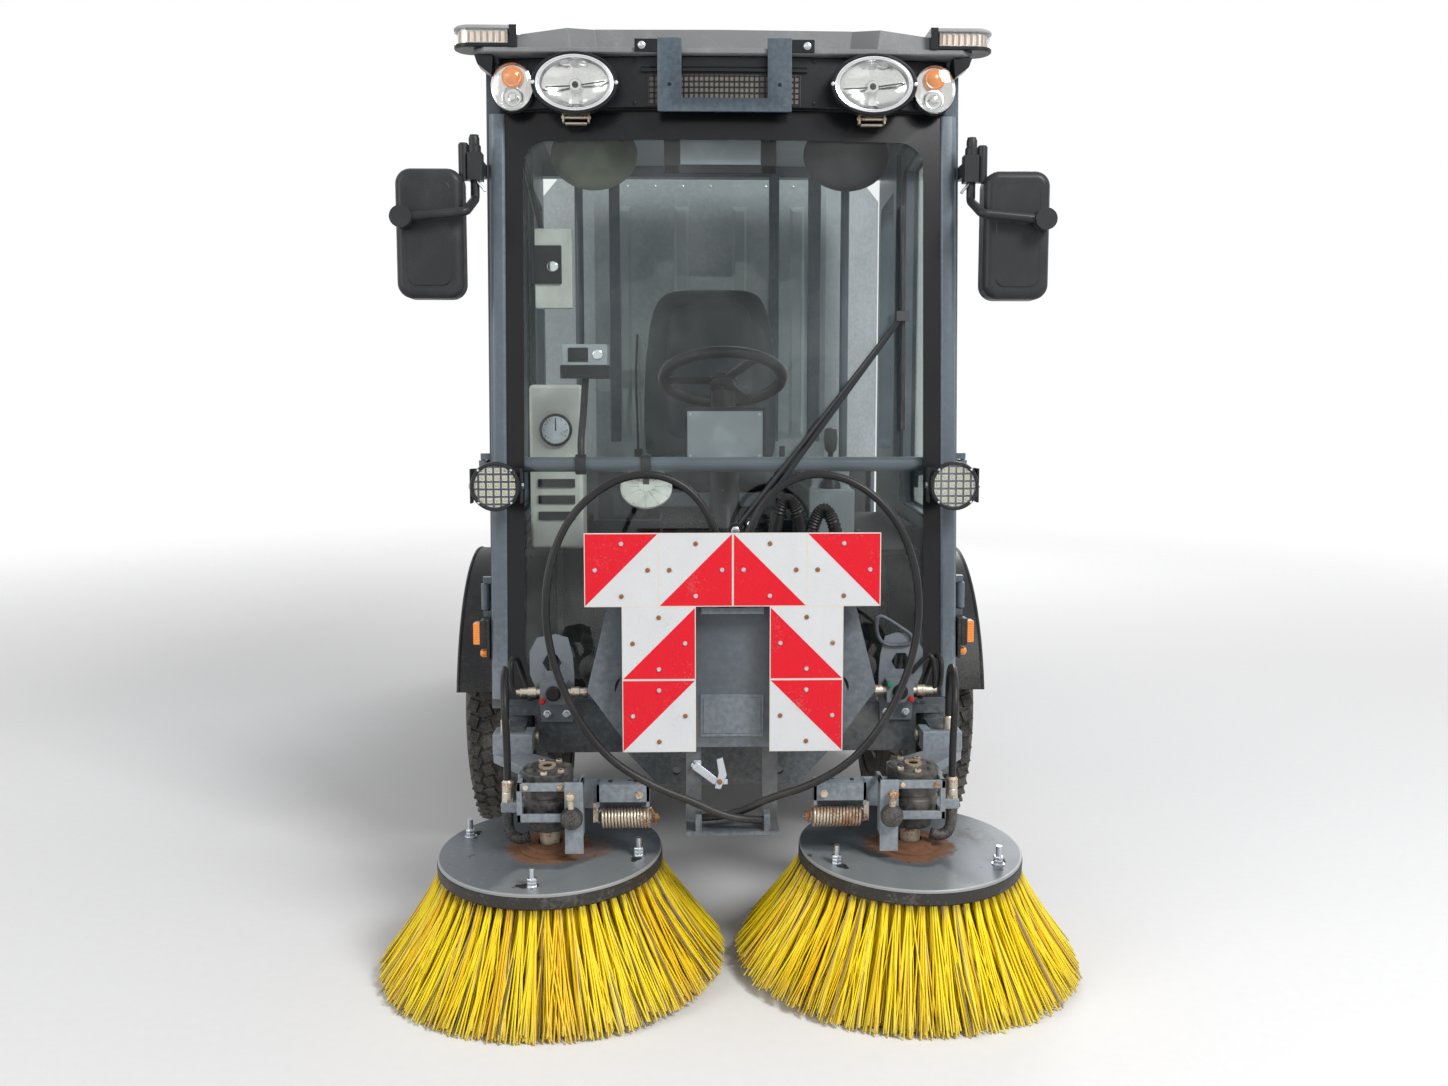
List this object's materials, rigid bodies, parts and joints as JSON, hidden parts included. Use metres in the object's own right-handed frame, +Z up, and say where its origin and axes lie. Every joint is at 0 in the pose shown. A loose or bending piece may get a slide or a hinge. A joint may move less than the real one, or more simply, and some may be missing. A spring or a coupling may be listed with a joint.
{
  "type": "compact road sweeper",
  "caption": "Compact articulated road sweeper with a glazed cab, two front disc brushes, a warning board, a suction mouth and a tipping hopper.",
  "frame": {"origin": "on the ground, under the centre of the machine's outline", "axes": "+Z up, the front faces -Y, the driver's left is +X"},
  "size_m": [1.46, 3.9344, 1.988],
  "materials": {
    "chassis_paint": "satin blue-grey paint, chipped and dusty",
    "cab_paint": "satin mid grey paint",
    "body_paint": "satin light grey paint",
    "black_plastic": "fine-grained black moulding",
    "grey_plastic": "moulded grey plastic",
    "roof_plastic": "pale grey moulding",
    "tyre_rubber": "worn black tyre",
    "soft_rubber": "smooth black sheath",
    "rim_paint": "silver-grey paint",
    "clear_glass": "clear, faintly green",
    "lamp_glass": "clear lamp lens",
    "beacon_glass": "clear lens over amber cells",
    "amber_lens": "amber lens in a black holder",
    "seat_vinyl": "black vinyl",
    "sign_sheet": "red and white reflective sheet",
    "brush_steel": "worn grey paint, rusty at the middle",
    "brush_bristle": "yellow bristles mixed with steel strands",
    "spring_steel": "dull cream coil, rusty in places",
    "engine_iron": "dark casting",
    "cylinder_steel": "black paint",
    "rod_chrome": "hard chrome"
  },
  "bodies": {
    "chassis": {"front_frame": "chassis_paint", "front_axle": "chassis_paint", "front_fenders": "black_plastic", "cab_frame": "cab_paint", "cab_floor": "chassis_paint", "cab_roof": "roof_plastic", "windscreen": "clear_glass", "cab_windows": "clear_glass", "lamp_panel": "black_plastic", "roof_lamps": "lamp_glass", "beacons": "beacon_glass", "work_lights": "black_plastic", "mirrors": "black_plastic", "side_markers": "amber_lens", "wiper": "black_plastic", "seat": "seat_vinyl", "steering_column": "black_plastic", "cab_consoles": "grey_plastic", "centre_panel": "chassis_paint", "warning_board": "sign_sheet", "control_cable_left": "soft_rubber", "control_cable_right": "soft_rubber"},
    "steering_wheel": {"steering_wheel": "black_plastic"},
    "rear_module": {"rear_frame": "chassis_paint", "rear_axle": "chassis_paint", "rear_fenders": "black_plastic", "water_tanks": "grey_plastic", "engine_block": "engine_iron", "engine_covers": "body_paint", "suction_mouth": "black_plastic", "rear_bumper": "chassis_paint"},
    "hopper": {"hopper_shell": "body_paint"},
    "hopper_door": {"hopper_door": "body_paint"},
    "hopper_barrels": {"hopper_barrels": "cylinder_steel"},
    "hopper_rods": {"hopper_rods": "rod_chrome"},
    "wheel_front_left": {"tyre_front_left": "tyre_rubber", "rim_front_left": "rim_paint"},
    "wheel_front_right": {"tyre_front_right": "tyre_rubber", "rim_front_right": "rim_paint"},
    "wheel_rear_left": {"tyre_rear_left": "tyre_rubber", "rim_rear_left": "rim_paint"},
    "wheel_rear_right": {"tyre_rear_right": "tyre_rubber", "rim_rear_right": "rim_paint"},
    "door_left": {"door_left": "cab_paint", "door_glass_left": "clear_glass"},
    "brush_knuckle_left": {"brush_knuckle_left": "chassis_paint"},
    "brush_arm_left": {"brush_arm_left": "chassis_paint", "tension_spring_left": "spring_steel", "brush_hose_left": "soft_rubber"},
    "brush_left": {"brush_disc_left": "brush_steel", "bristles_left": "brush_bristle"},
    "door_right": {"door_right": "cab_paint", "door_glass_right": "clear_glass"},
    "brush_knuckle_right": {"brush_knuckle_right": "chassis_paint"},
    "brush_arm_right": {"brush_arm_right": "chassis_paint", "tension_spring_right": "spring_steel", "brush_hose_right": "soft_rubber"},
    "brush_right": {"brush_disc_right": "brush_steel", "bristles_right": "brush_bristle"}
  },
  "joints": [
    {"name": "articulation", "type": "hinge", "parent": "chassis", "child": "rear_module", "pos_m": [0, 0.36, 0.45], "axis": [0, 0, 1], "range_deg": [-35, 35]},
    {"name": "steering_wheel_turn", "type": "hinge", "parent": "chassis", "child": "steering_wheel", "pos_m": [0.018, -0.42, 1.215], "axis": [0, 0.405, 0.9143], "range_deg": [-540, 540]},
    {"name": "wheel_front_left_roll", "type": "hinge", "parent": "chassis", "child": "wheel_front_left", "pos_m": [0.5325, -0.59, 0.35], "axis": [1, 0, 0], "continuous": true},
    {"name": "wheel_front_right_roll", "type": "hinge", "parent": "chassis", "child": "wheel_front_right", "pos_m": [-0.5325, -0.59, 0.35], "axis": [1, 0, 0], "continuous": true},
    {"name": "wheel_rear_left_roll", "type": "hinge", "parent": "rear_module", "child": "wheel_rear_left", "pos_m": [0.5325, 1.31, 0.35], "axis": [1, 0, 0], "continuous": true},
    {"name": "wheel_rear_right_roll", "type": "hinge", "parent": "rear_module", "child": "wheel_rear_right", "pos_m": [-0.5325, 1.31, 0.35], "axis": [1, 0, 0], "continuous": true},
    {"name": "door_left_swing", "type": "hinge", "parent": "chassis", "child": "door_left", "pos_m": [0.55236, -1.1687, 0.84], "axis": [0, 0, -1], "range_deg": [0, 70]},
    {"name": "brush_swing_left", "type": "hinge", "parent": "chassis", "child": "brush_knuckle_left", "pos_m": [0.455, -1.345, 0.409], "axis": [0, 0, 1], "range_deg": [0, 40]},
    {"name": "brush_lift_left", "type": "hinge", "parent": "brush_knuckle_left", "child": "brush_arm_left", "pos_m": [0.455, -1.42, 0.43], "axis": [-1, 0, 0], "range_deg": [0, 15]},
    {"name": "brush_spin_left", "type": "hinge", "parent": "brush_arm_left", "child": "brush_left", "pos_m": [0.363, -1.625, 0.22114], "axis": [0.0175, -0.061, 0.998], "continuous": true},
    {"name": "door_right_swing", "type": "hinge", "parent": "chassis", "child": "door_right", "pos_m": [-0.55236, -1.1687, 0.84], "axis": [0, 0, 1], "range_deg": [0, 70]},
    {"name": "brush_swing_right", "type": "hinge", "parent": "chassis", "child": "brush_knuckle_right", "pos_m": [-0.455, -1.345, 0.409], "axis": [0, 0, -1], "range_deg": [0, 40]},
    {"name": "brush_lift_right", "type": "hinge", "parent": "brush_knuckle_right", "child": "brush_arm_right", "pos_m": [-0.455, -1.42, 0.43], "axis": [-1, 0, 0], "range_deg": [0, 15]},
    {"name": "brush_spin_right", "type": "hinge", "parent": "brush_arm_right", "child": "brush_right", "pos_m": [-0.363, -1.625, 0.22114], "axis": [-0.0175, -0.061, 0.998], "continuous": true},
    {"name": "hopper_tip", "type": "hinge", "parent": "rear_module", "child": "hopper", "pos_m": [0, 1.8, 0.905], "axis": [-1, 0, 0], "range_deg": [0, 50]},
    {"name": "hopper_door_swing", "type": "hinge", "parent": "hopper", "child": "hopper_door", "pos_m": [0, 1.867, 1.939], "axis": [1, 0, 0], "range_deg": [0, 80]},
    {"name": "barrel_pivot", "type": "hinge", "parent": "rear_module", "child": "hopper_barrels", "pos_m": [0, 1.68, 0.6], "axis": [1, 0, 0], "range_deg": [-24.54, 0]},
    {"name": "rod_slide", "type": "slide", "parent": "hopper_barrels", "child": "hopper_rods", "axis": [0, -0.6024, 0.7982], "range_m": [0, 0.20517]}
  ],
  "couplings": [
    {"joint": "barrel_pivot", "follows": "hopper_tip", "ratio": -0.4907},
    {"joint": "rod_slide", "follows": "hopper_tip", "m_per_rad": 0.23511}
  ]
}
